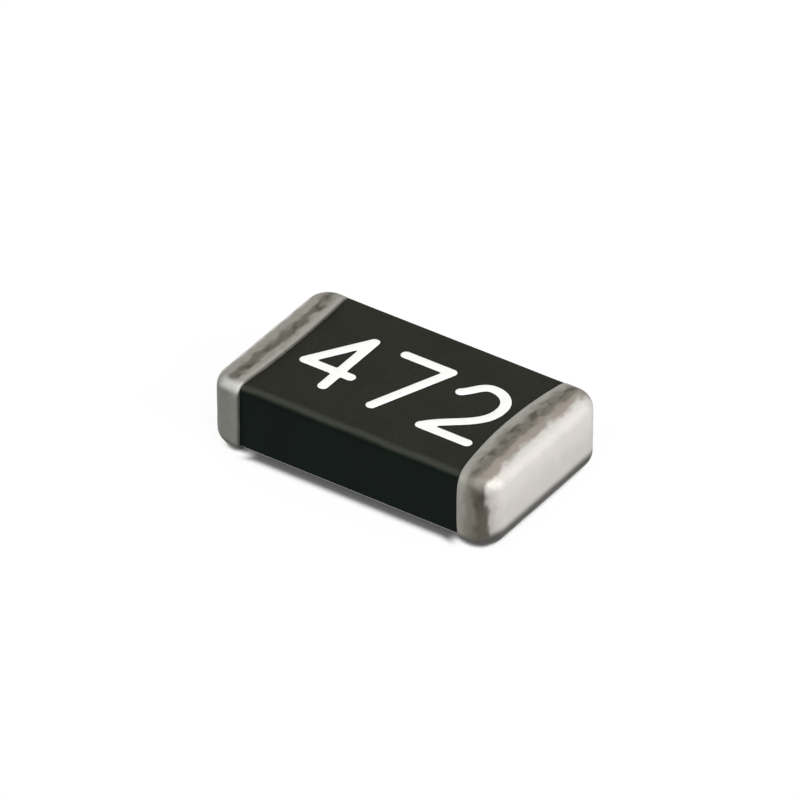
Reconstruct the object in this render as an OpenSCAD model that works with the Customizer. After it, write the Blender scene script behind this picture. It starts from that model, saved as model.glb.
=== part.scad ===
// Thick-film chip resistor for surface mounting, with wrap-around end caps.
// The chip lies along X with its solder faces on Z = 0. Lengths are in millimetres.

/* [Chip] */
// Length over both end caps
chip_length = 2.12; // [1.6:0.01:3.2]
// Width across an end cap
chip_width = 1.25; // [1:0.01:1.8]
// Height of an end cap
chip_height = 0.525; // [0.42:0.005:0.8]

/* [Ceramic substrate] */
// Bevel that scribing and snapping leave along the lower edges
scribe_bevel = 0.012; // [0.004:0.002:0.02]

/* [Electrodes] */
// Thickness of the printed electrodes
electrode_thickness = 0.012; // [0.006:0.001:0.02]
// Bare ceramic beside each electrode
electrode_inset = 0.06; // [0.03:0.01:0.12]
// How far a bottom electrode ends behind the edge of its cap
electrode_setback = 0.02; // [0.01:0.005:0.05]

/* [Resistor film] */
// Thickness of the resistor film
film_thickness = 0.012; // [0.006:0.001:0.02]
// Bare ceramic beside the film
film_inset = 0.15; // [0.1:0.01:0.25]
// How far the coating runs past each end of the film
film_setback = 0.13; // [0.08:0.01:0.2]
// How far the film lies over each top electrode
film_overlap = 0.09; // [0.05:0.01:0.15]

/* [Laser trim] */
// Width of the slot that the laser cuts
trim_kerf = 0.03; // [0.02:0.005:0.05]
// Place of the plunge cut along the chip, from the middle
trim_offset = -0.2; // [-0.3:0.05:0.1]
// Depth of the plunge cut into the film
trim_plunge = 0.34; // [0.2:0.02:0.5]
// Length of the leg that turns along the chip
trim_run = 0.32; // [0.15:0.01:0.4]

/* [Glass passivation] */
// Thickness of the glass over the film
glass_thickness = 0.012; // [0.006:0.001:0.02]
// How far the glass reaches past the film
glass_margin = 0.04; // [0.02:0.01:0.06]

/* [Protective coating] */
// Thickness of the coating over the highest glass
coating_cover = 0.022; // [0.01:0.002:0.04]
// Thickness of the coating on the long sides
coating_side = 0.008; // [0.005:0.001:0.015]
// Radius of the coating's upper long edges
coating_edge_r = 0.045; // [0.02:0.005:0.05]
// Bare ceramic left at the foot of the long sides
coating_reveal = 0.02; // [0.015:0.005:0.06]
// How far the coating runs under the edge of each cap
coating_tuck = 0.03; // [0.02:0.005:0.05]

/* [End caps] */
// Length of the left cap along the middle of the top
left_cap_length = 0.25; // [0.24:0.005:0.36]
// How far the left cap's crescent edge draws back at the long sides
left_cap_crescent = 0.025; // [0.01:0.005:0.04]
// Length of the right cap along the middle of the top
right_cap_length = 0.315; // [0.26:0.005:0.36]
// How far the right cap's crescent edge draws back at the long sides
right_cap_crescent = 0.07; // [0.01:0.005:0.08]
// Radius of a cap's upright corners
cap_corner_r = 0.165; // [0.1:0.005:0.17]
// Radius of a cap's level edges
cap_edge_r = 0.105; // [0.05:0.005:0.11]
// Thickness of the termination paste over the body
paste_wall = 0.018; // [0.014:0.001:0.022]
// Thickness of the termination paste over the substrate's end
paste_end = 0.11; // [0.08:0.005:0.12]
// Thickness of the paste that a cap's roundings leave over the body's edges
paste_edge_thickness = 0.003; // [0.002:0.001:0.005]
// Thickness of the nickel plating
nickel_thickness = 0.005; // [0.003:0.001:0.008]
// Thickness of the tin plating
tin_thickness = 0.007; // [0.004:0.001:0.01]

/* [Hidden] */
$fn = 64;

// Signs of the two ends
LEFT = -1;
RIGHT = 1;
// Cutters run past the faces that they cut
spare = 0.1;

// Plating depth and the body inside the caps
plating = nickel_thickness + tin_thickness;
wrap = paste_wall + plating;
body_width = chip_width - 2 * wrap;
body_top = chip_height - wrap;

// Substrate
substrate_length = chip_length - 2 * (paste_end + plating);
substrate_width = body_width - 2 * coating_side;
substrate_bottom = wrap + electrode_thickness;
glass_stack = electrode_thickness + film_thickness + glass_thickness;
substrate_top = body_top - coating_cover - glass_stack;

// Lengths of the layers on top, from the middle of the chip
function crescent(side) = side == LEFT ? left_cap_crescent : right_cap_crescent;
function cap_edge(side) = chip_length / 2 - (side == LEFT ? left_cap_length : right_cap_length);
function coating_end(side) = cap_edge(side) + crescent(side) + coating_tuck;
film_half = min(coating_end(LEFT), coating_end(RIGHT)) - film_setback;
glass_half = film_half + glass_margin;
electrode_start = film_half - film_overlap;
film_width = substrate_width - 2 * film_inset;
electrode_width = substrate_width - 2 * electrode_inset;
function bottom_electrode_start(side) = cap_edge(side) + crescent(side) + electrode_setback;

// A ball gives a cap its crescent edge: the radius of its section at the top face, and its own
function crescent_r(side) = (pow(chip_width / 2, 2) + pow(crescent(side), 2)) / (2 * crescent(side));
function crescent_ball_r(side) = sqrt(pow(crescent_r(side), 2) + pow(chip_height / 2, 2));

// Largest rounding that keeps this cover over a sharp edge that lies in from two faces
function limit_over_sharp(first, second, cover) =
    let (span = first + second - cover)
    span + sqrt(pow(span, 2) - pow(first, 2) - pow(second, 2) + pow(cover, 2));

// Largest rounding that keeps this cover over a rounded edge that lies in from both faces
function limit_over_round(inset, radius, cover) =
    (sqrt(2) * (inset + radius) - radius - cover) / (sqrt(2) - 1);

// How far a rounded edge draws in at a height over the lower face
function draw_in(radius, height) =
    height < radius ? radius - sqrt(pow(radius, 2) - pow(radius - height, 2)) : 0;

// Roundings of the caps, limited by the paste over the body's edges
side_inset = paste_wall + coating_side;
foot_inset = paste_wall + electrode_thickness;
edge_r = plating + min(
    cap_edge_r - plating,
    limit_over_sharp(side_inset, foot_inset + scribe_bevel, paste_edge_thickness),
    limit_over_sharp(side_inset + scribe_bevel, foot_inset, paste_edge_thickness),
    limit_over_round(paste_wall, coating_edge_r, paste_edge_thickness)
);
corner_cover = paste_edge_thickness + draw_in(edge_r - plating, foot_inset + scribe_bevel);
corner_r = min(cap_corner_r, plating + limit_over_sharp(paste_end, side_inset, corner_cover));

// Rectangle about the origin with rounded corners
module rounded_rectangle(length, width, radius) {
    square([length - 2 * radius, width], center = true);
    square([length, width - 2 * radius], center = true);
    for (x = [-1, 1], y = [-1, 1])
        translate([x * (length / 2 - radius), y * (width / 2 - radius)])
            circle(radius);
}

// Half section of a round pad with rounded rims, for turning about its axis
module pad_section(radius, height, rim_r) {
    intersection() {
        rounded_rectangle(2 * radius, height, rim_r);
        translate([0, -height])
            square([2 * radius, 2 * height]);
    }
}

// Profile in Y and Z, pushed along X
module along_x(length) {
    rotate([90, 0, 90])
        linear_extrude(height = length, center = true)
            children();
}

// Profile in X and Z, pushed along Y
module along_y(width) {
    rotate([90, 0, 0])
        linear_extrude(height = width, center = true)
            children();
}

// Block about the middle of the chip, on a given level
module block(length, width, bottom, top) {
    translate([0, 0, (bottom + top) / 2])
        cube([length, width, top - bottom], center = true);
}

// Block between two places along X
module block_from(start, end, width, bottom, top) {
    translate([(start + end) / 2, 0, 0])
        block(end - start, width, bottom, top);
}

// A shape made for the right end, at either end
module at_end(side) {
    mirror([side == LEFT ? 1 : 0, 0, 0])
        children();
}

// Chip about the origin with rounded edges, and with rounded upright corners at its right end.
// The corners at its left end stay open, because each cap is cut from the right end.
module rounded_chip(length, width, height, upright_r, level_r) {
    for (y = [-1, 1])
        translate([length / 2 - upright_r, y * (width / 2 - upright_r), 0])
            rotate_extrude()
                pad_section(upright_r, height, level_r);
    along_y(width - 2 * upright_r)
        rounded_rectangle(length, height, level_r);
    along_x(length - 2 * upright_r)
        rounded_rectangle(width, height, level_r);
}

// Cap with its rounded end and crescent edge, a given depth under the tin's surface.
// It is made for the right end, with the length of either side's cap.
module cap_form(side, depth) {
    length = chip_length - 2 * depth;
    width = chip_width - 2 * depth;
    height = chip_height - 2 * depth;
    translate([0, 0, chip_height / 2])
        intersection() {
            rounded_chip(length, width, height, corner_r - depth, edge_r - depth);
            translate([cap_edge(side) + crescent_r(side), 0, 0])
                sphere(crescent_ball_r(side) - depth);
        }
}

// Rectangle on the substrate's levels with bevelled lower corners
module scribed_section(width) {
    half = width / 2;
    polygon([
        [-half, substrate_top],
        [-half, substrate_bottom + scribe_bevel],
        [-half + scribe_bevel, substrate_bottom],
        [half - scribe_bevel, substrate_bottom],
        [half, substrate_bottom + scribe_bevel],
        [half, substrate_top]
    ]);
}

// Outer form of the coating: rounded upper edges, open below
module coating_form() {
    foot = substrate_bottom + coating_reveal;
    flat = body_width - 2 * coating_edge_r;
    translate([(coating_end(RIGHT) - coating_end(LEFT)) / 2, 0, 0])
        along_x(coating_end(LEFT) + coating_end(RIGHT)) {
            translate([-body_width / 2, foot])
                square([body_width, body_top - coating_edge_r - foot]);
            translate([-flat / 2, foot])
                square([flat, body_top - foot]);
            for (y = [-1, 1])
                translate([y * flat / 2, body_top - coating_edge_r])
                    circle(coating_edge_r);
        }
}

// Film section along the chip: on the ceramic between the electrodes, and up over them.
// A stack of layers takes the same path, so thickness counts from the ceramic.
module film_section(half, thickness) {
    low = substrate_top + thickness;
    high = low + electrode_thickness;
    step = electrode_start - thickness;
    polygon([
        [-half, substrate_top], [half, substrate_top],
        [half, high], [step, high], [step, low],
        [-step, low], [-step, high], [-half, high]
    ]);
}

// L-shaped slot that the laser cuts through glass and film
module trim_slot() {
    near = -film_width / 2 - glass_margin - spare;
    turn = -film_width / 2 + trim_plunge;
    bottom = substrate_top - spare;
    top = substrate_top + glass_stack + spare;
    translate([trim_offset, (near + turn) / 2, 0])
        block(trim_kerf, turn - near, bottom, top);
    translate([0, turn - trim_kerf / 2, 0])
        block_from(trim_offset - trim_kerf / 2, trim_offset + trim_run, trim_kerf, bottom, top);
}

// Untrimmed film, with the electrodes still in it
module film_form() {
    along_y(film_width)
        film_section(film_half, film_thickness);
}

// Untrimmed glass, with the film and the electrodes still in it
module glass_form() {
    along_y(film_width + 2 * glass_margin)
        film_section(glass_half, film_thickness + glass_thickness);
}

module ceramic_substrate() {
    color("whitesmoke")
        intersection() {
            along_x(substrate_length)
                scribed_section(substrate_width);
            along_y(substrate_width)
                scribed_section(substrate_length);
        }
}

module bottom_electrode(side) {
    color("gainsboro")
        at_end(side)
            block_from(
                bottom_electrode_start(side), substrate_length / 2 - scribe_bevel,
                electrode_width, substrate_bottom - electrode_thickness, substrate_bottom
            );
}

module top_electrode(side) {
    color("gainsboro")
        at_end(side)
            block_from(
                electrode_start, substrate_length / 2,
                electrode_width, substrate_top, substrate_top + electrode_thickness
            );
}

module resistor_film() {
    color("dimgray")
        difference() {
            film_form();
            top_electrode(LEFT);
            top_electrode(RIGHT);
            trim_slot();
        }
}

module glass_passivation() {
    color("slategray")
        difference() {
            glass_form();
            film_form();
            top_electrode(LEFT);
            top_electrode(RIGHT);
            trim_slot();
        }
}

module protective_coating() {
    color([0.16, 0.17, 0.15])
        difference() {
            coating_form();
            ceramic_substrate();
            top_electrode(LEFT);
            top_electrode(RIGHT);
            difference() {
                glass_form();
                trim_slot();
            }
        }
}

module end_termination(side) {
    color("silver")
        difference() {
            at_end(side)
                cap_form(side, plating);
            ceramic_substrate();
            coating_form();
            top_electrode(side);
            bottom_electrode(side);
        }
}

// Plating over a cap: everything between two depths, less the body that it wraps
module plated_shell(side, outer_depth, inner_depth) {
    difference() {
        at_end(side)
            difference() {
                cap_form(side, outer_depth);
                cap_form(side, inner_depth);
            }
        ceramic_substrate();
        coating_form();
    }
}

module nickel_barrier(side) {
    color("darkgray")
        plated_shell(side, tin_thickness, plating);
}

module tin_plating(side) {
    color([0.6, 0.59, 0.56])
        plated_shell(side, 0, tin_thickness);
}

ceramic_substrate();
bottom_electrode(LEFT);  // bottom_electrode_left
bottom_electrode(RIGHT);  // bottom_electrode_right
top_electrode(LEFT);  // top_electrode_left
top_electrode(RIGHT);  // top_electrode_right
resistor_film();
glass_passivation();
protective_coating();
end_termination(LEFT);  // end_termination_left
end_termination(RIGHT);  // end_termination_right
nickel_barrier(LEFT);  // nickel_barrier_left
nickel_barrier(RIGHT);  // nickel_barrier_right
tin_plating(LEFT);  // tin_plating_left
tin_plating(RIGHT);  // tin_plating_right
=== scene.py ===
import math

import bmesh
import bpy
from bpy.props import FloatProperty, FloatVectorProperty, PointerProperty, StringProperty
from bpy.types import Operator, Panel, PropertyGroup
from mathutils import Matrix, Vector


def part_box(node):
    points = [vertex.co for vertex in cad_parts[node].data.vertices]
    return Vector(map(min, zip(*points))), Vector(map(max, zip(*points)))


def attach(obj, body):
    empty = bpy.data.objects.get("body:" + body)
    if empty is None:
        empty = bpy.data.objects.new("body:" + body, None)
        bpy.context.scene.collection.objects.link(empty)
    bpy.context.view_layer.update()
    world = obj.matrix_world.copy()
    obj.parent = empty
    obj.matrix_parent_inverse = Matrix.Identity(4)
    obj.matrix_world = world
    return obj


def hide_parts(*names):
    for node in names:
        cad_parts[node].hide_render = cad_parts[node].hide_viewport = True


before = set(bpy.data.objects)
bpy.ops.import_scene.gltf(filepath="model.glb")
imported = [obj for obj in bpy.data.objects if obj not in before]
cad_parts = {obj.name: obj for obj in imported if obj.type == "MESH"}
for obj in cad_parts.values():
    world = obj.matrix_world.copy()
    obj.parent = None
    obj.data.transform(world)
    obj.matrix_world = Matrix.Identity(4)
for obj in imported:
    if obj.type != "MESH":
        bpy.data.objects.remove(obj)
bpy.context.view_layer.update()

bl_info = {
    "name": "Chip resistor",
    "version": (1, 0, 0),
    "blender": (4, 5, 0),
    "location": "3D View > Sidebar > Chip resistor",
    "description": "Dresses the solids of a surface-mount chip resistor and sets up its stage",
    "category": "Object",
}

# Pieces are shaped in millimetres and brought to metres when they are finished
MM_PER_M = 1000.0

# Axes by their place in a vector, the chip's ends along X and its long sides along Y
X = 0
Y = 1
Z = 2
LEFT = -1
RIGHT = 1
SIDE_NAMES = {LEFT: "left", RIGHT: "right"}
NEAR = -1
FAR = 1

# Names under which a cap's mesh stores where its points lie
END_SHARE = "end_share"
WALL_SHARE = "wall_share"
FOOT_SHADE = "foot_shade"


def length(name, description, metres):
    """Property for a length, with its default in metres."""
    return FloatProperty(name=name, description=description, default=metres, min=0.0,
                         precision=7, unit="LENGTH")


def offset(name, description, metres):
    """Property for a shift either way, with its default in metres."""
    return FloatProperty(name=name, description=description, default=metres, precision=7,
                         unit="LENGTH")


def angle(name, description, degrees):
    """Property for an angle, with its default in degrees."""
    return FloatProperty(name=name, description=description, default=math.radians(degrees),
                         unit="ROTATION")


def colour(name, description, value):
    """Property for a colour, with its default in linear red, green and blue."""
    return FloatVectorProperty(name=name, description=description, default=value, size=3,
                               min=0.0, max=1.0, subtype="COLOR")


class ChipSizes(PropertyGroup):
    """Lengths of the pieces, in metres."""

    cap_corner: length("Cap corner", "Radius of a cap's upright corners", 0.000165)
    cap_edge: length("Cap edge", "Radius of a cap's level edges", 0.000105)
    cap_wrap: length("Cap wrap", "Height of a cap over the coating", 0.00003)
    cap_shoulder: length("Cap shoulder", "Radius of the edge where a cap meets the coating", 0.000018)
    cap_cover: length("Cap cover", "How far the tin reaches past the layers under it", 0.000006)
    cap_skin: length("Cap skin", "Least thickness of the tin", 0.000002)
    cap_relief: length("Cap relief", "Depth of the dents in the tin", 0.0000045)
    left_length: length("Left cap", "Length of the left cap along the middle of the top", 0.00025)
    left_crescent: length("Left crescent", "Draw of the left cap's edge at the sides", 0.000025)
    right_length: length("Right cap", "Length of the right cap along the middle of the top", 0.000315)
    right_crescent: length("Right crescent", "Draw of the right cap's edge at the sides", 0.00007)
    coating_edge: length("Coating edge", "Radius of the coating's near upper edge", 0.000045)
    coating_far_edge: length("Coating far edge", "Radius of the coating's far upper edge", 0.000015)
    coating_skin: length("Coating skin", "Thickness of the coating on the long sides", 0.000008)
    coating_relief: length("Coating relief", "Depth of the coating's uneven print", 0.0000015)
    digit_height: length("Digit height", "Height of the printed digits", 0.00056)
    digit_width: length("Digit width", "Width of a printed digit", 0.00034)
    digit_pitch: length("Digit pitch", "Distance from one digit to the next", 0.00049)
    digit_stroke: length("Digit stroke", "Thickness of the digits' strokes", 0.000072)
    ink_height: length("Ink height", "How far the ink stands over the coating", 0.000003)


class ChipColours(PropertyGroup):
    """Colours of the finishes."""

    # Partly painted light: the end faces are painted pale to stand in for the light falling on them,
    # over clean tin.
    tin_pale: colour("Pale tin", "Clean tin on the end faces", (0.60, 0.566, 0.54))
    # Cool tin also colours the painted highlight on the left cap's upper roundings.
    tin_cool: colour("Cool tin", "Greener clouds on the end faces", (0.555, 0.557, 0.522))
    # Light tin also colours the painted highlight on the right cap's upper roundings.
    tin_light: colour("Light tin", "Rims of the tin beside the coating", (0.335, 0.33, 0.295))
    tin_warm: colour("Warm tin", "Tin before the rounded ends", (0.33, 0.29, 0.253))
    tin_dull: colour("Dull tin", "Mottled band across the caps", (0.165, 0.155, 0.125))
    tin_even: colour("Even tin", "Plain grey tin on the left cap's long sides", (0.18, 0.182, 0.17))
    # Brown stains, also used as painted shade on the right cap's corners and along the left cap's
    # border.
    tin_stain_and_shade: colour("Tin stain", "Brown stains on the upright corners", (0.055, 0.046, 0.036))
    # Painted shade: the tin's lower roundings are painted this dark grey.
    tin_foot_shade: colour("Tin foot", "Grey tin along the lower edges", (0.066, 0.065, 0.061))
    coating_top: colour("Coating top", "Black coating on the top", (0.017, 0.018, 0.0125))
    # Painted highlight: a lighter band along the top's near edge, standing in for light caught by its
    # rounding.
    coating_near_highlight: colour("Coating rim", "Rubbed coating along its near edge", (0.038, 0.040, 0.033))
    coating_side: colour("Coating side", "Black coating on the long sides", (0.002, 0.0054, 0.0036))
    ink: colour("Ink", "White printed digits", (0.86, 0.86, 0.84))
    alumina: colour("Alumina", "White ceramic of the substrate", (0.78, 0.77, 0.73))
    # Painted shade: the ceramic is greyed along its long sides, where its foot shows under the
    # coating.
    alumina_shade: colour("Alumina edge", "Ceramic along its scribed lower edges", (0.56, 0.56, 0.55))
    electrode: colour("Electrode", "Printed silver of the electrodes", (0.62, 0.61, 0.58))
    film: colour("Film", "Dark resistor film", (0.035, 0.034, 0.037))
    glass: colour("Glass", "Glass over the film", (0.11, 0.15, 0.13))
    paste: colour("Paste", "Fired silver paste of the terminations", (0.50, 0.49, 0.46))
    nickel: colour("Nickel", "Nickel under the tin", (0.48, 0.45, 0.39))
    floor: colour("Floor", "Floor and background", (0.97, 0.97, 0.97))


class ChipMarking(PropertyGroup):
    """What is printed on the top."""

    digits: StringProperty(name="Digits", description="Value code on the top", default="472")


class ChipStage(PropertyGroup):
    """Where the camera stands and what it aims at."""

    azimuth: angle("Azimuth", "Camera's place round the chip", 34.4)
    elevation: angle("Elevation", "Camera's height over the horizon", 35.5)
    distance: length("Distance", "Camera's distance from the chip", 0.06)
    aim_height: length("Aim height", "Height of the point that the aim is counted from", 0.000494)
    aim_right: offset("Aim right", "Aim to the right of that point", -0.000029)
    aim_up: offset("Aim up", "Aim above that point", -0.000085)


# Reading sizes


def millimetres(value):
    """A length in metres, in millimetres."""
    return value * MM_PER_M


def box_in_mm(node):
    """Corners of a CAD node's box, in millimetres."""
    low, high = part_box(node)
    return low * MM_PER_M, high * MM_PER_M


# Modelling

# Points closer than this count as one place, in millimetres
TOUCH = 0.001

# How closely a cut meets points that are there already, in millimetres
CUT_TOLERANCE = 0.00001

# Part of a face's normal that has to lie along an axis for the face to look that way
FACING = 0.9

# Number of sizes that soft dents are mixed from
DENT_DETAIL = 2


def start_block(name, low, high):
    """Adds a block between two corners and leaves it selected alone."""
    bpy.ops.object.select_all(action="DESELECT")
    bpy.ops.mesh.primitive_cube_add(size=1, location=(low + high) / 2)
    piece = bpy.context.object
    piece.name = name
    piece.data.name = name
    piece.scale = high - low
    bpy.ops.object.transform_apply(location=True, rotation=False, scale=True)
    return piece


def select_where(piece, kind, wanted):
    """Selects the edges or the faces that a test accepts, in edit mode."""
    bpy.ops.mesh.select_mode(type=kind)
    bpy.ops.mesh.select_all(action="DESELECT")
    mesh = bmesh.from_edit_mesh(piece.data)
    for part in mesh.faces if kind == "FACE" else mesh.edges:
        if wanted(part):
            part.select_set(True)
    bmesh.update_edit_mesh(piece.data)


def delete_faces(piece, wanted):
    """Deletes the faces that a test accepts, and keeps their edges."""
    select_where(piece, "FACE", wanted)
    bpy.ops.mesh.delete(type="ONLY_FACE")


def round_edges(piece, wanted, radius, segments):
    """Rounds the edges that a test accepts."""
    select_where(piece, "EDGE", wanted)
    bpy.ops.mesh.bevel(offset=radius, offset_type="OFFSET", segments=segments, profile=0.5,
                       affect="EDGES", clamp_overlap=False)


def cut_across(axis, places):
    """Cuts the whole mesh in edit mode at places along an axis."""
    for place in places:
        bpy.ops.mesh.select_all(action="SELECT")
        point = Vector((0, 0, 0))
        point[axis] = place
        normal = Vector((0, 0, 0))
        normal[axis] = 1
        bpy.ops.mesh.bisect(plane_co=point, plane_no=normal, threshold=CUT_TOLERANCE)


def spread(low, high, count):
    """Places spaced evenly inside a span."""
    return [low + (high - low) * (step + 1) / (count + 1) for step in range(count)]


def apply_modifier(piece, kind, **settings):
    """Adds a modifier with these settings and applies it."""
    modifier = piece.modifiers.new(kind.title(), kind)
    for name, value in settings.items():
        setattr(modifier, name, value)
    bpy.ops.object.modifier_apply(modifier=modifier.name)


def dent(piece, depth, size):
    """Presses soft dents of a size into a surface, never outwards."""
    clouds = bpy.data.textures.new(piece.name + "_dents", "CLOUDS")
    clouds.noise_scale = size
    clouds.noise_depth = DENT_DETAIL
    apply_modifier(piece, "DISPLACE", texture=clouds, texture_coords="LOCAL", strength=depth,
                   mid_level=1.0)


def bring_to_metres(piece):
    """Scales a piece from millimetres to metres about the origin."""
    piece.scale = (1 / MM_PER_M,) * 3
    bpy.ops.object.transform_apply(location=False, rotation=False, scale=True)


def dress(piece, material):
    """Gives a piece or a CAD node one material."""
    piece.data.materials.clear()
    piece.data.materials.append(material)


# Material nodes

# Limits that nearly all of a pattern lies between, and closer ones for what it sways
PATTERN_LIMITS = (0.2, 0.8)
SWAY_LIMITS = (0.25, 0.75)

# Grains of an inner layer to one of its clouds, and what the grain adds to or takes from roughness
GRAINS_PER_CLOUD = 9
ROUGHNESS_SWING = 0.1

# Distance from the chip's middle at which a value has gone over to one cap's, in millimetres
CHANGE_REACH = 0.1


def shade(value, factor):
    """A colour made lighter or darker."""
    return tuple(min(1.0, part * factor) for part in value)


class Recipe:
    """Nodes of one material, with patterns measured in millimetres."""

    def __init__(self, name):
        self.material = bpy.data.materials.new(name)
        self.material.use_nodes = True
        self.tree = self.material.node_tree
        self.shader = self.tree.nodes["Principled BSDF"]
        place = self.add("ShaderNodeTexCoord").outputs["Object"]
        self.place = self.stretched(place, (MM_PER_M,) * 3)

    def add(self, kind):
        """Adds a node."""
        return self.tree.nodes.new(kind)

    def feed(self, socket, source):
        """Links a socket to another, or sets its value."""
        if isinstance(source, bpy.types.NodeSocket):
            self.tree.links.new(source, socket)
        else:
            socket.default_value = source

    def stretched(self, place, scale):
        """Coordinates scaled along each axis."""
        mapping = self.add("ShaderNodeMapping")
        self.feed(mapping.inputs["Vector"], place)
        mapping.inputs["Scale"].default_value = scale
        return mapping.outputs["Vector"]

    def noise(self, scale, detail=3.0, roughness=0.55, distortion=0.0, place=None):
        """Cloudy pattern with so many features in a millimetre."""
        node = self.add("ShaderNodeTexNoise")
        self.feed(node.inputs["Vector"], place or self.place)
        node.inputs["Scale"].default_value = scale
        node.inputs["Detail"].default_value = detail
        node.inputs["Roughness"].default_value = roughness
        node.inputs["Distortion"].default_value = distortion
        return node.outputs["Fac"]

    def streaks(self, scales, detail, roughness=0.5, distortion=0.0):
        """Cloudy pattern with its own number of features in a millimetre along each axis."""
        place = self.stretched(self.place, scales)
        return self.noise(1.0, detail, roughness, distortion, place)

    def attribute(self, name):
        """Value stored on the mesh under a name."""
        node = self.add("ShaderNodeAttribute")
        node.attribute_name = name
        return node.outputs["Fac"]

    def axis(self, name):
        """Place along one axis, in millimetres."""
        node = self.add("ShaderNodeSeparateXYZ")
        self.feed(node.inputs[0], self.place)
        return node.outputs[name]

    def off_middle(self, name):
        """Distance from the middle along one axis, in millimetres."""
        return self.maths("ABSOLUTE", self.axis(name))

    def remap(self, value, low, high, new_low=0.0, new_high=1.0):
        """Soft step of a value between two limits."""
        node = self.add("ShaderNodeMapRange")
        node.interpolation_type = "SMOOTHSTEP"
        self.feed(node.inputs["Value"], value)
        node.inputs["From Min"].default_value = low
        node.inputs["From Max"].default_value = high
        node.inputs["To Min"].default_value = new_low
        node.inputs["To Max"].default_value = new_high
        return node.outputs["Result"]

    def uneven(self, pattern, low, high):
        """A value that a pattern moves between two limits."""
        return self.remap(pattern, *PATTERN_LIMITS, low, high)

    def between(self, value, rise, fall):
        """Share that rises softly between two limits of a value and falls between two others."""
        return self.product(self.remap(value, *rise), self.remap(value, *fall, 1.0, 0.0))

    def maths(self, operation, first, second=0.0):
        """One sum on two values, or on the first alone."""
        node = self.add("ShaderNodeMath")
        node.operation = operation
        self.feed(node.inputs[0], first)
        self.feed(node.inputs[1], second)
        return node.outputs["Value"]

    def product(self, first, *others):
        """Several values, multiplied."""
        for other in others:
            first = self.maths("MULTIPLY", first, other)
        return first

    def swayed(self, value, *swings):
        """A value that each pattern shifts up and down by its swing."""
        for pattern, swing in swings:
            value = self.maths("ADD", value, self.remap(pattern, *SWAY_LIMITS, -swing, swing))
        return value

    def ramp(self, value, stops):
        """Colours at places along a value, with soft changes between them."""
        node = self.add("ShaderNodeValToRGB")
        node.color_ramp.interpolation = "EASE"
        elements = node.color_ramp.elements
        while len(elements) < len(stops):
            elements.new(1.0)
        for element, (place, tone) in zip(elements, stops):
            element.position = place
            element.color = self.opaque(tone)
        self.feed(node.inputs["Fac"], value)
        return node.outputs["Color"]

    def mixed(self, share, first, second):
        """Two colours, mixed by a share."""
        node = self.add("ShaderNodeMix")
        node.data_type = "RGBA"
        self.feed(node.inputs["Factor"], share)
        self.feed(node.inputs[6], self.opaque(first))
        self.feed(node.inputs[7], self.opaque(second))
        return node.outputs[2]

    def toned(self, share, value, first, second):
        """One colour, shaded from a first factor to a second by a share."""
        return self.mixed(share, shade(value, first), shade(value, second))

    def opaque(self, value):
        """A colour with its alpha, or a socket as it is."""
        if isinstance(value, bpy.types.NodeSocket):
            return value
        return (*value, 1.0)

    def bump(self, height, depth, normal=None):
        """Relief of a depth in millimetres, over another relief if one is given."""
        node = self.add("ShaderNodeBump")
        self.feed(node.inputs["Height"], height)
        node.inputs["Distance"].default_value = depth / MM_PER_M
        if normal is not None:
            self.feed(node.inputs["Normal"], normal)
        return node.outputs["Normal"]

    def finish(self, **sockets):
        """Feeds the shader's sockets, named in words with underscores."""
        for name, source in sockets.items():
            self.feed(self.shader.inputs[name.replace("_", " ")], source)
        return self.material


# Finishes


def grained_finish(name, value, features, roughness, metallic, depth):
    """Finish with a fine even grain, for the inner layers."""
    recipe = Recipe(name)
    grain = recipe.noise(features, 4.0)
    cloud = recipe.noise(features / GRAINS_PER_CLOUD, 3.0)
    fine = recipe.toned(recipe.remap(grain, 0.32, 0.68), value, 0.82, 1.12)
    tint = recipe.toned(recipe.remap(cloud, 0.3, 0.7), value, 0.9, 1.0)
    smooth = roughness - ROUGHNESS_SWING
    rough = roughness + ROUGHNESS_SWING
    return recipe.finish(
        Base_Color=recipe.mixed(0.5, fine, tint),
        Metallic=metallic,
        Roughness=recipe.uneven(grain, smooth, rough),
        Normal=recipe.bump(grain, depth),
    )


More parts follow.
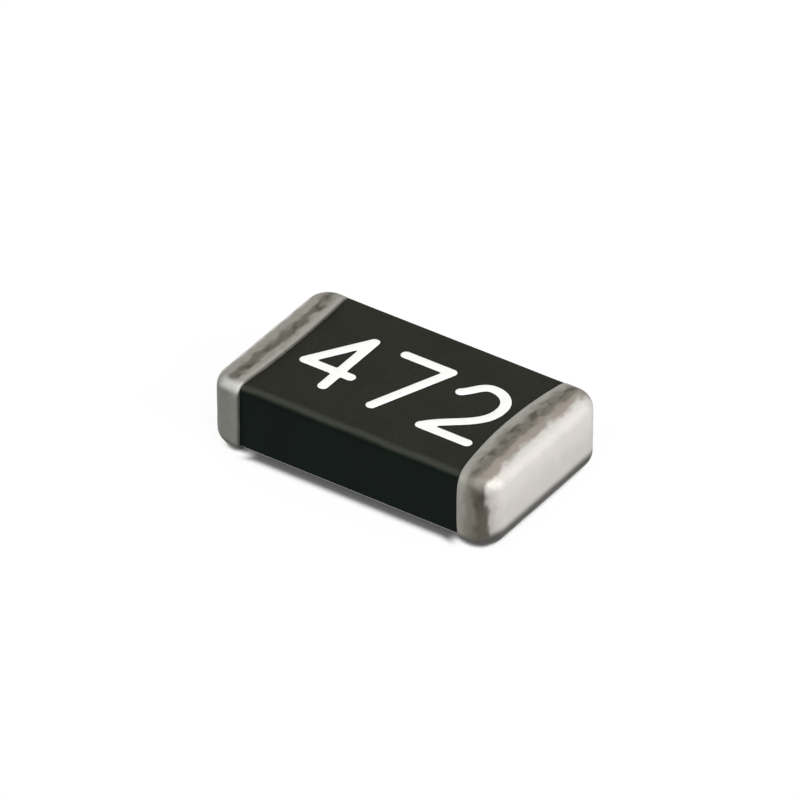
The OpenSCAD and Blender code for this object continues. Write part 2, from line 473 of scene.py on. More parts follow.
class TinRecipe(Recipe):
    """Nodes of the tin, with the patterns that its zones share."""

    def __init__(self, name, colours):
        super().__init__(name)
        self.colours = colours
        self.clouds = self.streaks((14.0, 6.0, 6.0), 2.0, distortion=0.2)
        self.speckle = self.streaks((30.0, 13.0, 18.0), 1.0)
        ripple = self.streaks((20.0, 14.0, 14.0), 1.0, roughness=0.4)
        self.share = self.attribute(END_SHARE)
        self.wavy_share = self.swayed(self.share, (self.clouds, 0.04), (ripple, 0.03))
        self.wall = self.attribute(WALL_SHARE)
        self.left = self.by_end(1.0, 0.0)
        cloudy = self.remap(self.clouds, 0.35, 0.65)
        # Pale end tone: the tin's own greener clouds, painted pale partly as light on the end faces.
        self.pale = self.mixed(cloudy, colours.tin_pale, colours.tin_cool)

    def by_end(self, left, right):
        """A value for the left cap and another for the right one."""
        return self.remap(self.axis("X"), -CHANGE_REACH, CHANGE_REACH, left, right)

    def top(self):
        """Top and underside: a light rim, a dull mottled band, a warm strip and the pale end, painted
        pale partly to stand in for the light on it.
        """
        colours = self.colours
        share = self.swayed(self.wavy_share, (self.speckle, 0.02))
        tone = self.ramp(share, [
            (0.06, colours.tin_light),
            (0.30, colours.tin_dull),
            (0.36, colours.tin_dull),
            (0.52, colours.tin_warm),
        ])
        outer = self.product(self.left, self.remap(share, 0.36, 0.48, 0.0, 0.75))
        tone = self.mixed(outer, tone, shade(colours.tin_light, 0.85))
        band = self.between(share, (0.18, 0.26), (0.32, 0.46))
        dark = self.product(self.left, self.remap(self.clouds, 0.3, 0.6, 0.3, 0.75))
        tone = self.mixed(self.product(band, dark), tone, shade(colours.tin_dull, 0.6))
        spots = self.product(band, self.remap(self.speckle, 0.44, 0.72, 0.0, 0.7))
        tone = self.mixed(spots, tone, colours.tin_stain_and_shade)
        return self.mixed(self.remap(self.wavy_share, 0.57, 0.69), tone, self.pale)

    def side(self):
        """Long sides: on the right cap a brown band before the corners, partly stain and partly
        painted shade where the rounding turns from the light, then painted lighter towards the end
        face; evenly grey on the left one.
        """
        colours = self.colours
        # Stain brown before the corners is partly painted shade, where the rounding turns from the
        # light.
        tone = self.ramp(self.wavy_share, [
            (0.06, shade(colours.tin_light, 0.85)),
            (0.28, colours.tin_dull),
            (0.46, colours.tin_stain_and_shade),
            (0.59, colours.tin_stain_and_shade),
            (0.71, shade(colours.tin_pale, 0.75)),
            (0.82, shade(colours.tin_pale, 0.9)),
        ])
        tone = self.mixed(self.remap(self.wavy_share, 0.8, 1.0), tone, self.pale)
        even = self.product(self.left, self.remap(self.wavy_share, 0.6, 0.98, 0.85, 0.0))
        return self.mixed(even, tone, colours.tin_even)

    def with_painted_light(self, tone):
        """A tone with painted highlights on the upper roundings, painted shade along the left cap's
        border, duller and darker towards the bottom, and painted shade on the foot.
        """
        colours = self.colours
        # Painted highlight: lighter tin across the upper roundings, strongest on the near side and on
        # the left cap.
        painted_highlight = self.product(
            self.between(self.wall, (0.2, 0.45), (0.55, 0.8)),
            self.remap(self.axis("Z"), 0.3, 0.4),
            self.remap(self.axis("Y"), -0.2, 0.2, 1.0, 0.3),
            self.by_end(1.0, 0.45),
            self.remap(self.wavy_share, 0.45, 0.62, 0.75, 0.0),
        )
        # Colour of the painted highlight: cool tin on the left cap, light tin on the right one.
        highlight_tone = self.mixed(self.left, colours.tin_light, colours.tin_cool)
        tone = self.mixed(painted_highlight, tone, highlight_tone)
        # Painted shade: the left cap's tin turns stain brown right at its border with the coating.
        border_shade = self.product(self.left, self.remap(self.share, 0.0, 0.05, 0.7, 0.0))
        tone = self.mixed(border_shade, tone, colours.tin_stain_and_shade)
        # Duller and darker towards the bottom.
        low = self.remap(self.axis("Z"), 0.2, 0.42, 0.22, 0.0)
        tone = self.mixed(low, tone, shade(colours.tin_dull, 1.2))
        # Painted shade on the foot.
        return self.mixed(self.attribute(FOOT_SHADE), tone, colours.tin_foot_shade)


def tin_finish(colours):
    """Matt tin with a fine grain, of another tone on the top than on the long sides, with painted
    light and shade across each cap.
    """
    recipe = TinRecipe("matt_tin", colours)
    tone = recipe.with_painted_light(recipe.mixed(recipe.wall, recipe.top(), recipe.side()))
    grain = recipe.noise(120.0, 2.0)
    return recipe.finish(
        Base_Color=recipe.mixed(recipe.remap(grain, 0.35, 0.65, 0.1, 0.0), tone, colours.tin_dull),
        Metallic=0.7,
        Roughness=recipe.uneven(recipe.speckle, 0.54, 0.68),
        Normal=recipe.bump(grain, 0.0003, recipe.bump(recipe.speckle, 0.0006)),
    )


def ceramic_finish(colours, half_width):
    """Fired white ceramic with a fine grain, greyed by painted shade along its long sides."""
    recipe = Recipe("alumina")
    grain = recipe.noise(55.0, 4.0)
    clouds = recipe.noise(6.0, 3.0)
    body = recipe.toned(recipe.remap(grain, 0.32, 0.68), colours.alumina, 0.85, 1.06)
    edge = recipe.toned(recipe.remap(grain, 0.3, 0.7), colours.alumina_shade, 0.8, 1.0)
    # Painted shade along the long sides, where the foot shows under the coating.
    across = recipe.swayed(recipe.off_middle("Y"), (clouds, 0.004))
    shadowed = recipe.remap(across, half_width - 0.016, half_width - 0.006)
    return recipe.finish(
        Base_Color=recipe.mixed(shadowed, body, edge),
        Roughness=recipe.uneven(grain, 0.62, 0.82),
        Normal=recipe.bump(grain, 0.0012),
    )


def coating_finish(colours, half_width, height):
    """Satin black coating with a fine grain: darker long sides, and a painted highlight along the near
    edge of the top.
    """
    recipe = Recipe("black_coating")
    grain = recipe.noise(70.0, 3.0, 0.6)
    clouds = recipe.noise(3.0, 4.0, 0.55, 0.3)
    specks = recipe.remap(recipe.noise(42.0, 1.0), 0.70, 0.78, 0.0, 0.25)
    fine = recipe.remap(grain, 0.3, 0.7)
    top = recipe.toned(fine, colours.coating_top, 0.75, 1.2)
    top = recipe.mixed(specks, top, shade(colours.coating_top, 3.0))
    cloudy = recipe.remap(clouds, 0.35, 0.65, 0.0, 0.3)
    top = recipe.mixed(cloudy, top, shade(colours.coating_top, 0.6))
    # Painted highlight along the top's near edge only.
    across = recipe.swayed(recipe.product(recipe.axis("Y"), NEAR), (clouds, 0.006))
    rise = (half_width - 0.075, half_width - 0.035)
    fall = (half_width - 0.025, half_width - 0.002)
    top = recipe.mixed(recipe.between(across, rise, fall), top, colours.coating_near_highlight)
    side = recipe.toned(fine, colours.coating_side, 0.7, 1.25)
    cloudy = recipe.remap(clouds, 0.4, 0.7, 0.0, 0.5)
    side = recipe.mixed(cloudy, side, shade(colours.coating_side, 0.5))
    upper = recipe.remap(recipe.axis("Z"), height - 0.03, height - 0.004)
    return recipe.finish(
        Specular_IOR_Level=0.05,
        Base_Color=recipe.mixed(upper, side, top),
        Roughness=recipe.uneven(grain, 0.42, 0.6),
        Normal=recipe.bump(grain, 0.0006, recipe.bump(clouds, 0.002)),
    )


def ink_finish(colours):
    """White printing ink, a little uneven."""
    recipe = Recipe("white_ink")
    grain = recipe.noise(60.0, 3.0)
    thin = recipe.remap(recipe.noise(14.0, 3.0), 0.3, 0.6, 0.12, 0.0)
    return recipe.finish(
        Base_Color=recipe.toned(thin, colours.ink, 1.0, 0.7),
        Roughness=recipe.uneven(grain, 0.45, 0.65),
        Normal=recipe.bump(grain, 0.0005),
    )


# Caps

# Steps of a cap's roundings, and cuts across and up its flat parts
CORNER_STEPS = 12
EDGE_STEPS = 8
SHOULDER_STEPS = 4
CUTS_ACROSS = 11
CUTS_UP = 3

# Length of the strip that keeps the end's rounding from spreading, in millimetres
HOLDING_STRIP = 0.03

# How far the border sinks into what it meets, in millimetres
BORDER_SINK = 0.001

# Size of the dents in the tin, in millimetres
TIN_DENT = 0.16

# Height of the painted shade along the foot, what it gains at the end and its soft upper edge, in
# millimetres
FOOT_HEIGHT = 0.05
FOOT_GAIN = 0.05
FOOT_FADE = 0.06

# End shares between which the painted foot shade gains height, and upright parts of normals at which
# it starts
FOOT_GAIN_SHARES = (0.4, 0.8)
FOOT_NORMALS = (-0.95, -0.75)

# A normal that turns less than this to the top or the long sides belongs to the end face
END_FACE_TURN = 0.05


class CapForm:
    """Sizes of one end cap, in millimetres."""

    def __init__(self, side, sizes):
        name = SIDE_NAMES[side]
        low, high = box_in_mm("tin_plating_" + name)
        self.side = side
        self.half_width = high.y
        self.bottom = low.z
        self.top = high.z
        self.middle = (low.z + high.z) / 2
        self.half_height = (high.z - low.z) / 2
        self.end = high.x if side == RIGHT else -low.x
        self.corner = millimetres(sizes.cap_corner)
        self.edge = millimetres(sizes.cap_edge)
        self.flat_half_width = self.half_width - self.edge
        self.flat_half_height = self.half_height - self.edge
        self.wrap = millimetres(sizes.cap_wrap)
        self.lift = box_in_mm("ceramic_substrate")[0].z - low.z
        cap_length = millimetres(getattr(sizes, name + "_length"))
        draw = millimetres(getattr(sizes, name + "_crescent"))
        self.border = self.end - cap_length - millimetres(sizes.cap_cover)
        section = (self.half_width ** 2 + draw ** 2) / (2 * draw)
        self.ball_centre = self.border + section
        self.ball_radius = math.hypot(section, self.half_height)

    def border_at(self, across, height):
        """Place along the chip of the crescent edge, counted towards the cap's end."""
        reach = self.ball_radius ** 2 - across ** 2 - (height - self.middle) ** 2
        return self.ball_centre - math.sqrt(reach)

    def past_flat(self, across, height):
        """How far a point of the section lies past its flat parts, across and up."""
        up = height - self.middle
        across -= max(-self.flat_half_width, min(self.flat_half_width, across))
        up -= max(-self.flat_half_height, min(self.flat_half_height, up))
        return across, up

    def outward(self, across, height):
        """Direction out of the cap's rounded section at a point on it."""
        return Vector((0, *self.past_flat(across, height))).normalized()

    def depth(self, point):
        """How far a point lies under the cap's straight section."""
        return self.edge - math.hypot(*self.past_flat(point.y, point.z))


def is_upright_end(edge, form):
    """Upright edge at a block's outer end."""
    first, second = edge.verts
    at_end = min(form.side * first.co.x, form.side * second.co.x) > form.end - TOUCH
    return at_end and abs(first.co.z - second.co.z) > form.half_height


def is_rim(edge, form):
    """Level edge between a wall and the top or the bottom."""
    heights = [vert.co.z for vert in edge.verts]
    level = max(heights) < form.bottom + TOUCH or min(heights) > form.top - TOUCH
    return level and len(edge.link_faces) == 2


def shape_cap(form, sizes):
    """Rounded cup over one end of the chip, with a crescent edge that turns down to the coating."""
    name = "end_cap_" + SIDE_NAMES[form.side]
    corners = sorted([form.side * form.border, form.side * form.end])
    low = Vector((corners[0], -form.half_width, form.bottom))
    high = Vector((corners[1], form.half_width, form.top))
    piece = start_block(name, low, high)
    bpy.ops.object.mode_set(mode="EDIT")
    delete_faces(piece, lambda face: face.normal.x * form.side < -FACING)
    round_edges(piece, lambda edge: is_upright_end(edge, form), form.corner, CORNER_STEPS)
    round_edges(piece, lambda edge: is_rim(edge, form), form.edge, EDGE_STEPS)
    flat = form.half_width - form.corner
    cut_across(Y, [-flat, *spread(-flat, flat, CUTS_ACROSS), flat])
    flat = form.flat_half_height
    cut_across(Z, [form.middle + place for place in spread(-flat, flat, CUTS_UP)])
    straight = form.end - form.corner
    cut_across(X, [form.side * straight])
    draw_crescent(piece, form)
    cut_across(X, [form.side * (straight - HOLDING_STRIP)])
    turn_down_border(piece, form)
    shoulder = millimetres(sizes.cap_shoulder)
    round_edges(piece, lambda edge: is_shoulder(edge, form), shoulder, SHOULDER_STEPS)
    bpy.ops.object.mode_set(mode="OBJECT")
    return piece


def is_open(edge):
    """Edge of the mesh's open border."""
    return len(edge.link_faces) == 1


def open_border(mesh):
    """Points of a mesh's open border."""
    return {vert for edge in mesh.edges if is_open(edge) for vert in edge.verts}


def draw_crescent(piece, form):
    """Moves the open border of a cup to the crescent edge."""
    mesh = bmesh.from_edit_mesh(piece.data)
    for vert in open_border(mesh):
        vert.co.x = form.side * form.border_at(vert.co.y, vert.co.z)
    bmesh.update_edit_mesh(piece.data)


def turn_down_border(piece, form):
    """Extrudes the open border down to just under the coating, and up into the ceramic's underside."""
    select_where(piece, "EDGE", is_open)
    bpy.ops.mesh.extrude_edges_move()
    mesh = bmesh.from_edit_mesh(piece.data)
    for vert in open_border(mesh):
        outward = form.outward(vert.co.y, vert.co.z)
        underside = max(0.0, -outward.z)
        depth = form.wrap + (form.lift - form.wrap) * underside
        vert.co -= outward * (depth + BORDER_SINK)
    bmesh.update_edit_mesh(piece.data)


def is_shoulder(edge, form):
    """Edge between a cap's surface and the wall that turns down to the coating."""
    if len(edge.link_faces) != 2:
        return False
    for vert in edge.verts:
        place = form.side * vert.co.x - form.border_at(vert.co.y, vert.co.z)
        if abs(place) > TOUCH / 2 or form.depth(vert.co) > TOUCH / 2:
            return False
    return True


def soft_step(low, high, value):
    """Soft change from 0 at the low limit to 1 at the high one, which may lie below it."""
    share = max(0.0, min(1.0, (value - low) / (high - low)))
    return share * share * (3 - 2 * share)


def store_zones(piece, form):
    """Stores where each point of a cap lies, for its finish.

    The end share is its share of the way over the surface from the border to the end face. The wall
    share tells the long sides from the top and the underside, and the foot shade marks the lower
    rounding painted as shade.
    """
    mesh = piece.data
    zones = {}
    for name in (END_SHARE, WALL_SHARE, FOOT_SHADE):
        zones[name] = mesh.attributes.new(name, "FLOAT", "POINT").data
    for index, vert in enumerate(mesh.vertices):
        level = abs(vert.normal.z)
        upright = abs(vert.normal.y)
        wall = upright / max(level + upright, END_FACE_TURN)
        radius = form.edge + (form.corner - form.edge) * wall
        border = form.border_at(vert.co.y, vert.co.z)
        flat = max(0.0, form.end - radius - border)
        along = max(0.0, min(flat, form.side * vert.co.x - border))
        turned = math.asin(max(0.0, min(1.0, form.side * vert.normal.x)))
        share = (along + radius * turned) / (flat + radius * math.pi / 2)
        # Painted shade on the lower rounding, reaching higher towards the end face.
        foot = form.bottom + FOOT_HEIGHT + FOOT_GAIN * soft_step(*FOOT_GAIN_SHARES, share)
        low = soft_step(foot + FOOT_FADE, foot, vert.co.z)
        zones[END_SHARE][index].value = share
        zones[WALL_SHARE][index].value = wall
        zones[FOOT_SHADE][index].value = low * soft_step(*FOOT_NORMALS, vert.normal.z)


class CHIP_OT_end_caps(Operator):
    """Model the tin-plated end caps over the solids' plating"""

    bl_idname = "chip.end_caps"
    bl_label = "End caps"

    def execute(self, context):
        sizes = context.scene.chip_sizes
        tin = tin_finish(context.scene.chip_colours)
        for side, name in SIDE_NAMES.items():
            form = CapForm(side, sizes)
            cap = shape_cap(form, sizes)
            apply_modifier(cap, "SUBSURF", levels=2, render_levels=2)
            dent(cap, millimetres(sizes.cap_relief), TIN_DENT)
            store_zones(cap, form)
            apply_modifier(cap, "SOLIDIFY", thickness=millimetres(sizes.cap_skin), offset=-1.0)
            bring_to_metres(cap)
            bpy.ops.object.shade_smooth()
            dress(cap, tin)
            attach(cap, "root")
            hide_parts("tin_plating_" + name)
        return {"FINISHED"}


# Coating

# Steps of the near and the far rounding, and cuts along, across and down the coating
NEAR_STEPS = 8
FAR_STEPS = 6
CUTS_ALONG_COATING = 33
CUTS_ACROSS_COATING = 21
CUTS_DOWN_COATING = 7

# Size of the coating's waves, in millimetres, and the sharpest turn that is shaded smooth
COATING_WAVE = 0.3
SMOOTH_TURN = math.radians(50)


def is_ridge(edge, height, side):
    """Edge between two faces at a height, on the near or the far side."""
    level = min(vert.co.z for vert in edge.verts) > height - TOUCH
    return level and len(edge.link_faces) == 2 and edge.verts[0].co.y * side > 0


def shape_coating(low, high, sizes):
    """Sheet over the top and the long sides, with a rounder near edge and a sharper far one."""
    near_radius = millimetres(sizes.coating_edge)
    far_radius = millimetres(sizes.coating_far_edge)
    piece = start_block("coating", low, high)
    bpy.ops.object.mode_set(mode="EDIT")
    delete_faces(piece, lambda face: face.normal.z < -FACING or abs(face.normal.x) > FACING)
    round_edges(piece, lambda edge: is_ridge(edge, high.z, NEAR), near_radius, NEAR_STEPS)
    round_edges(piece, lambda edge: is_ridge(edge, high.z, FAR), far_radius, FAR_STEPS)
    cut_across(X, spread(low.x, high.x, CUTS_ALONG_COATING))
    cut_across(Y, spread(low.y + near_radius, high.y - far_radius, CUTS_ACROSS_COATING))
    cut_across(Z, spread(low.z, high.z - near_radius, CUTS_DOWN_COATING))
    bpy.ops.object.mode_set(mode="OBJECT")
    return piece


class CHIP_OT_coating(Operator):
    """Model the black protective coating over the top and the long sides"""

    bl_idname = "chip.coating"
    bl_label = "Protective coating"

    def execute(self, context):
        sizes = context.scene.chip_sizes
        low, high = box_in_mm("protective_coating")
        coating = shape_coating(low, high, sizes)
        apply_modifier(coating, "SUBSURF", levels=1, render_levels=1)
        dent(coating, millimetres(sizes.coating_relief), COATING_WAVE)
        apply_modifier(coating, "SOLIDIFY", thickness=millimetres(sizes.coating_skin), offset=-1.0)
        bring_to_metres(coating)
        bpy.ops.object.shade_smooth_by_angle(angle=SMOOTH_TURN)
        dress(coating, coating_finish(context.scene.chip_colours, high.y, high.z))
        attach(coating, "root")
        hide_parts("protective_coating")
        return {"FINISHED"}


# Marking

# Steps round a stroke, voxels across it, and how often and how far the ink is smoothed
STROKE_STEPS = 6
VOXELS_ACROSS_STROKE = 12
SMOOTHING_ROUNDS = 6
SMOOTHING_SHARE = 0.5

# Strokes of the digits: their handles, and points from the lower left corner at 0, 0 to 1, 1
STRAIGHT = "VECTOR"
ROUND = "AUTO"
DIGIT_STROKES = {
    "0": [(ROUND, [(0.5, 1), (0, 0.5), (0.5, 0), (1, 0.5), (0.5, 1)])],
    "1": [(STRAIGHT, [(0.2, 0.8), (0.55, 1), (0.55, 0)])],
    "2": [(ROUND, [(0.03, 0.76), (0.5, 1), (0.96, 0.74), (0, 0)]), (STRAIGHT, [(0, 0), (1, 0)])],
    "3": [(ROUND, [(0.05, 0.8), (0.5, 1), (0.92, 0.76), (0.4, 0.54), (1, 0.27), (0.5, 0), (0, 0.2)])],
    "4": [(STRAIGHT, [(0.74, 0), (0.74, 1), (0, 0.3), (1, 0.3)])],
    "5": [(STRAIGHT, [(0.9, 1), (0.15, 1), (0.1, 0.54)]),
          (ROUND, [(0.1, 0.54), (0.53, 0.63), (1, 0.32), (0.5, 0), (0, 0.16)])],
    "6": [(ROUND, [(0.86, 0.96), (0.2, 0.66), (0, 0.3), (0.5, 0), (1, 0.3), (0.5, 0.6), (0.04, 0.4)])],
    "7": [(STRAIGHT, [(0, 1), (1, 1), (0.36, 0)])],
    "8": [(ROUND, [(0.5, 0.53), (0.1, 0.77), (0.5, 1), (0.9, 0.77), (0.5, 0.53), (0, 0.27), (0.5, 0),
                   (1, 0.27), (0.5, 0.53)])],
    "9": [(ROUND, [(0.14, 0.04), (0.8, 0.34), (1, 0.7), (0.5, 1), (0, 0.7), (0.5, 0.4), (0.96, 0.6)])],
}


def draw_stroke(points, handles, thickness):
    """Adds a round stroke through points, with a ball at both ends."""
    bpy.ops.object.select_all(action="DESELECT")
    bpy.ops.curve.primitive_bezier_curve_add()
    stroke = bpy.context.object
    stroke.data.bevel_depth = thickness / 2
    stroke.data.bevel_resolution = STROKE_STEPS
    stroke.data.use_fill_caps = True
    spline = stroke.data.splines[0]
    spline.bezier_points.add(len(points) - len(spline.bezier_points))
    for knot, point in zip(spline.bezier_points, points):
        knot.co = (*point, 0)
        knot.handle_left_type = handles
        knot.handle_right_type = handles
    bpy.ops.object.convert(target="MESH")
    pieces = [bpy.context.object]
    for point in (points[0], points[-1]):
        bpy.ops.mesh.primitive_uv_sphere_add(radius=thickness / 2, location=(*point, 0))
        pieces.append(bpy.context.object)
    return pieces


def split_strokes(strokes):
    """Strokes with each straight one split into its legs, so that corners keep their thickness."""
    for handles, points in strokes:
        if handles == STRAIGHT:
            for leg in zip(points, points[1:]):
                yield handles, leg
        else:
            yield handles, points


def draw_digits(digits, sizes):
    """Adds a row of digits, centred on the origin, as one mesh of round strokes."""
    width = millimetres(sizes.digit_width)
    height = millimetres(sizes.digit_height)
    pitch = millimetres(sizes.digit_pitch)
    thickness = millimetres(sizes.digit_stroke)
    pieces = []
    for place, digit in enumerate(digits):
        left = (place - (len(digits) - 1) / 2) * pitch - width / 2
        for handles, points in split_strokes(DIGIT_STROKES[digit]):
            path = [(left + across * width, (up - 0.5) * height) for across, up in points]
            pieces.extend(draw_stroke(path, handles, thickness))
    for piece in pieces:
        piece.select_set(True)
    bpy.context.view_layer.objects.active = pieces[0]
    bpy.ops.object.join()
    row = bpy.context.object
    bpy.ops.object.transform_apply(location=True, rotation=True, scale=True)
    row.data.remesh_voxel_size = thickness / VOXELS_ACROSS_STROKE
    bpy.ops.object.voxel_remesh()
    apply_modifier(row, "SMOOTH", factor=SMOOTHING_SHARE, iterations=SMOOTHING_ROUNDS)
    return row


class CHIP_OT_marking(Operator):
    """Print the value code on the coating"""

    bl_idname = "chip.marking"
    bl_label = "Value marking"

    def execute(self, context):
        sizes = context.scene.chip_sizes
        low, high = box_in_mm("protective_coating")
        marking = draw_digits(context.scene.chip_marking.digits, sizes)
        marking.name = "value_marking"
        marking.data.name = "value_marking"
        marking.scale.z = sizes.ink_height / (sizes.digit_stroke / 2)
        marking.location = ((low.x + high.x) / 2, 0, high.z)
        bpy.ops.object.transform_apply(location=True, rotation=False, scale=True)
        bring_to_metres(marking)
        bpy.ops.object.shade_smooth()
        dress(marking, ink_finish(context.scene.chip_colours))
        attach(marking, "root")
        return {"FINISHED"}


# Solids that keep their shape


class CHIP_OT_ceramic(Operator):
    """Finish the white ceramic substrate"""

    bl_idname = "chip.ceramic"
    bl_label = "Ceramic substrate"

    def execute(self, context):
        half_width = box_in_mm("ceramic_substrate")[1].y
        finish = ceramic_finish(context.scene.chip_colours, half_width)
        dress(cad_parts["ceramic_substrate"], finish)
        return {"FINISHED"}


class CHIP_OT_layers(Operator):
    """Finish the printed and plated layers inside"""

    bl_idname = "chip.layers"
    bl_label = "Inner layers"

    def execute(self, context):
        colours = context.scene.chip_colours
        finishes = {
            "electrode": grained_finish("electrode_silver", colours.electrode, features=70.0,
                                        roughness=0.45, metallic=0.9, depth=0.0006),
            "film": grained_finish("resistor_film", colours.film, features=60.0,
                                   roughness=0.6, metallic=0.0, depth=0.0008),
            "glass": grained_finish("passivation_glass", colours.glass, features=30.0,
                                    roughness=0.25, metallic=0.0, depth=0.0004),
            "termination": grained_finish("termination_paste", colours.paste, features=50.0,
                                          roughness=0.55, metallic=0.8, depth=0.001),
            "nickel": grained_finish("nickel_plating", colours.nickel, features=80.0,
                                     roughness=0.35, metallic=1.0, depth=0.0004),
        }
        for name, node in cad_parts.items():
            for word, finish in finishes.items():
                if word in name:
                    dress(node, finish)
        return {"FINISHED"}


# Stage

# Photograph's frame: its width in pixels, and its scale at the chip
FRAME_PIXELS = 800
PIXELS_PER_MM = 162.3

# Lamps: azimuth and elevation in degrees, strength, and width in degrees as seen from the chip
LAMPS = {
    "front_lamp": (50.0, 50.0, 0.6, 35.0),
    "right_lamp": (95.0, 20.0, 0.44, 40.0),
    "edge_lamp": (-39.0, 41.0, 0.14, 18.0),
}

# Lamps' distance from the chip, in metres; it doesn't change their light
LAMP_DISTANCE = 0.02

# Strength of the surroundings' soft light, and the colour of all of their light
SOFT_LIGHT = 0.45
WHITE = (1.0, 1.0, 1.0, 1.0)

# Floor's side and its drop under the chip, in metres
FLOOR_SIDE = 0.4
FLOOR_DROP = 0.000001

# Reach of the shading round the chip's foot, in metres, and the rays that look for it
SHADE_REACH = 0.000125
SHADE_RAYS = 16

# Camera's sensor width in millimetres, and the span that it sees as shares of its distance
SENSOR_WIDTH = 36.0
CLIP_START = 0.1
CLIP_END = 20


def direction_from(azimuth, elevation):
    """Direction towards a place round the chip: azimuth 0 is in front, at negative Y."""
    level = math.cos(elevation)
    return Vector((math.sin(azimuth) * level, -math.cos(azimuth) * level, math.sin(elevation)))


def add_lamp(name, azimuth, elevation, strength, width):
    """Adds a soft, distant lamp that shines on the chip."""
    bpy.ops.object.select_all(action="DESELECT")
    bpy.ops.object.light_add(type="SUN", location=(0, 0, 0))
    lamp = bpy.context.object
    lamp.name = name
    towards = direction_from(math.radians(azimuth), math.radians(elevation))
    lamp.location = towards * LAMP_DISTANCE
    lamp.rotation_euler = towards.to_track_quat("Z", "Y").to_euler()
    lamp.data.energy = strength * math.pi
    lamp.data.angle = math.radians(width)


def light_world(context):
    """Grey surroundings for soft light, white where they are seen or mirrored."""
    world = bpy.data.worlds.new("studio")
    context.scene.world = world
    world.use_nodes = True
    tree = world.node_tree
    soft = tree.nodes["Background"]
    soft.inputs["Color"].default_value = WHITE
    soft.inputs["Strength"].default_value = SOFT_LIGHT
    white = tree.nodes.new("ShaderNodeBackground")
    white.inputs["Color"].default_value = WHITE
    white.inputs["Strength"].default_value = 1.0
    mix = tree.nodes.new("ShaderNodeMixShader")
    tree.links.new(seen_or_mirrored(tree), mix.inputs["Fac"])
    tree.links.new(soft.outputs["Background"], mix.inputs[1])
    tree.links.new(white.outputs["Background"], mix.inputs[2])
    tree.links.new(mix.outputs["Shader"], tree.nodes["World Output"].inputs["Surface"])


def seen_or_mirrored(tree):
    """Share that is 1 for rays from the camera, a mirror or clear glass."""
    path = tree.nodes.new("ShaderNodeLightPath")
    share = path.outputs["Is Camera Ray"]
    for name in ("Is Glossy Ray", "Is Transmission Ray"):
        both = tree.nodes.new("ShaderNodeMath")
        both.operation = "MAXIMUM"
        tree.links.new(share, both.inputs[0])
        tree.links.new(path.outputs[name], both.inputs[1])
        share = both.outputs["Value"]
    return share


def clear_of_chip(recipe):
    """Share of the floor that is clear of the chip, with tighter shading by the caps than between."""
    near = recipe.add("ShaderNodeAmbientOcclusion")
    near.samples = SHADE_RAYS
    near.inputs["Distance"].default_value = SHADE_REACH
    open_share = near.outputs["AO"]
    by_cap = recipe.remap(recipe.off_middle("X"), 0.70, 0.86)
    by_side = recipe.remap(recipe.off_middle("Y"), 0.5, 0.62, 0.0, 0.16)
    wide = recipe.remap(open_share, 0.52, 0.82)
    tight = recipe.remap(recipe.maths("SUBTRACT", open_share, by_side), 0.12, 0.34)
    return recipe.maths("MAXIMUM", wide, recipe.maths("MINIMUM", tight, by_cap))


def add_floor(colours):
    """Pale floor under the chip, with a painted shadow that darkens its colour at the chip's foot,
    lifted to white away from it.
    """
    bpy.ops.object.select_all(action="DESELECT")
    bpy.ops.mesh.primitive_plane_add(size=FLOOR_SIDE, location=(0, 0, -FLOOR_DROP))
    floor = bpy.context.object
    floor.name = "floor"
    recipe = Recipe("pale_floor")
    # Painted shadow: the floor's colour and its white lift fall off near the chip's foot.
    free = clear_of_chip(recipe)
    recipe.finish(
        Base_Color=recipe.toned(free, colours.floor, 0.08, 1.0),
        Roughness=0.9,
        Specular_IOR_Level=0.0,
    )
    white = recipe.add("ShaderNodeEmission")
    mix = recipe.add("ShaderNodeMixShader")
    lift = recipe.remap(free, 0.0, 1.0, 0.08, 0.92)
    recipe.feed(mix.inputs["Fac"], recipe.product(seen_or_mirrored(recipe.tree), lift))
    recipe.feed(mix.inputs[1], recipe.shader.outputs["BSDF"])
    recipe.feed(mix.inputs[2], white.outputs["Emission"])
    recipe.feed(recipe.tree.nodes["Material Output"].inputs["Surface"], mix.outputs["Shader"])
    dress(floor, recipe.material)


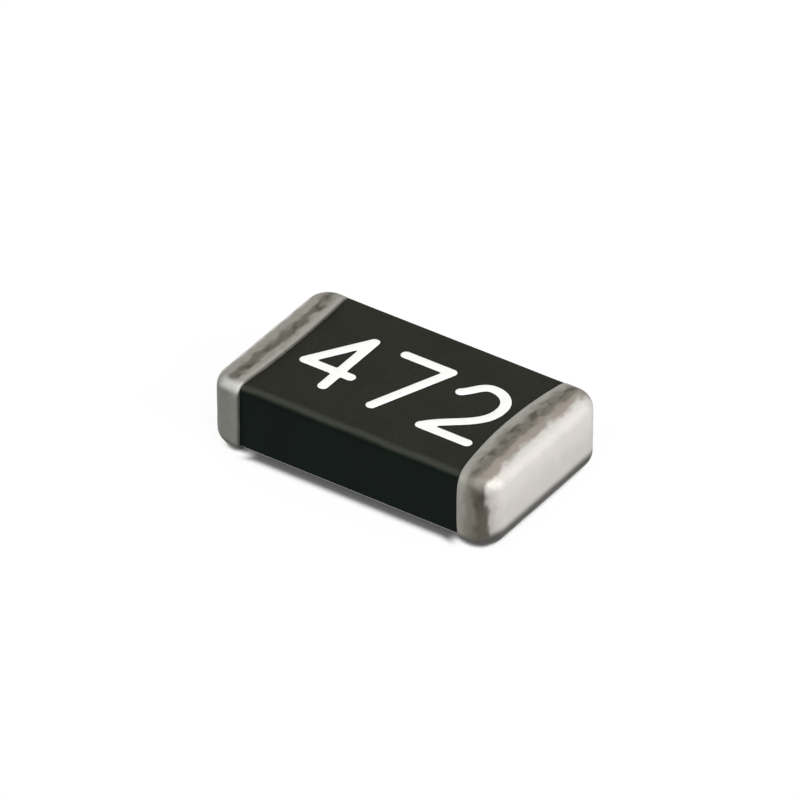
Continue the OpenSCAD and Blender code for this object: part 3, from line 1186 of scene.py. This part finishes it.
def add_camera(context, stage):
    """Camera at the photograph's angle, with a long lens."""
    right = Vector((math.cos(stage.azimuth), math.sin(stage.azimuth), 0))
    back = direction_from(stage.azimuth, stage.elevation)
    up = back.cross(right)
    seen = FRAME_PIXELS / PIXELS_PER_MM / MM_PER_M
    aim = Vector((0, 0, stage.aim_height)) + right * stage.aim_right + up * stage.aim_up
    bpy.ops.object.select_all(action="DESELECT")
    bpy.ops.object.camera_add(location=aim + back * stage.distance)
    camera = bpy.context.object
    camera.name = "camera"
    camera.rotation_euler = back.to_track_quat("Z", "Y").to_euler()
    camera.data.sensor_width = SENSOR_WIDTH
    camera.data.lens = SENSOR_WIDTH * stage.distance / seen
    camera.data.clip_start = stage.distance * CLIP_START
    camera.data.clip_end = stage.distance * CLIP_END
    context.scene.camera = camera


class CHIP_OT_stage(Operator):
    """Set up the floor, the light and the camera"""

    bl_idname = "chip.stage"
    bl_label = "Stage"

    def execute(self, context):
        scene = context.scene
        scene.view_settings.view_transform = "Standard"
        add_floor(scene.chip_colours)
        light_world(context)
        for name, settings in LAMPS.items():
            add_lamp(name, *settings)
        add_camera(context, scene.chip_stage)
        return {"FINISHED"}


# Add-on


class CHIP_PT_pieces(Panel):
    """Lists the chip's steps, sizes, colours and stage"""

    bl_idname = "CHIP_PT_pieces"
    bl_label = "Chip resistor"
    bl_space_type = "VIEW_3D"
    bl_region_type = "UI"
    bl_category = "Chip resistor"

    def draw(self, context):
        for operator in OPERATORS:
            self.layout.operator(operator.bl_idname)
        for group_name in GROUPS:
            group = getattr(context.scene, group_name)
            for name in group.__annotations__:
                self.layout.prop(group, name)


GROUPS = {
    "chip_sizes": ChipSizes,
    "chip_colours": ChipColours,
    "chip_marking": ChipMarking,
    "chip_stage": ChipStage,
}
OPERATORS = (CHIP_OT_end_caps, CHIP_OT_coating, CHIP_OT_marking, CHIP_OT_ceramic, CHIP_OT_layers,
             CHIP_OT_stage)


def register():
    for name, group in GROUPS.items():
        bpy.utils.register_class(group)
        setattr(bpy.types.Scene, name, PointerProperty(type=group))
    for kind in (*OPERATORS, CHIP_PT_pieces):
        bpy.utils.register_class(kind)


def unregister():
    for kind in (CHIP_PT_pieces, *reversed(OPERATORS)):
        bpy.utils.unregister_class(kind)
    for name, group in GROUPS.items():
        delattr(bpy.types.Scene, name)
        bpy.utils.unregister_class(group)


def main():
    register()
    bpy.ops.chip.end_caps()
    bpy.ops.chip.coating()
    bpy.ops.chip.marking()
    bpy.ops.chip.ceramic()
    bpy.ops.chip.layers()
    bpy.ops.chip.stage()


if __name__ == "__main__":
    main()
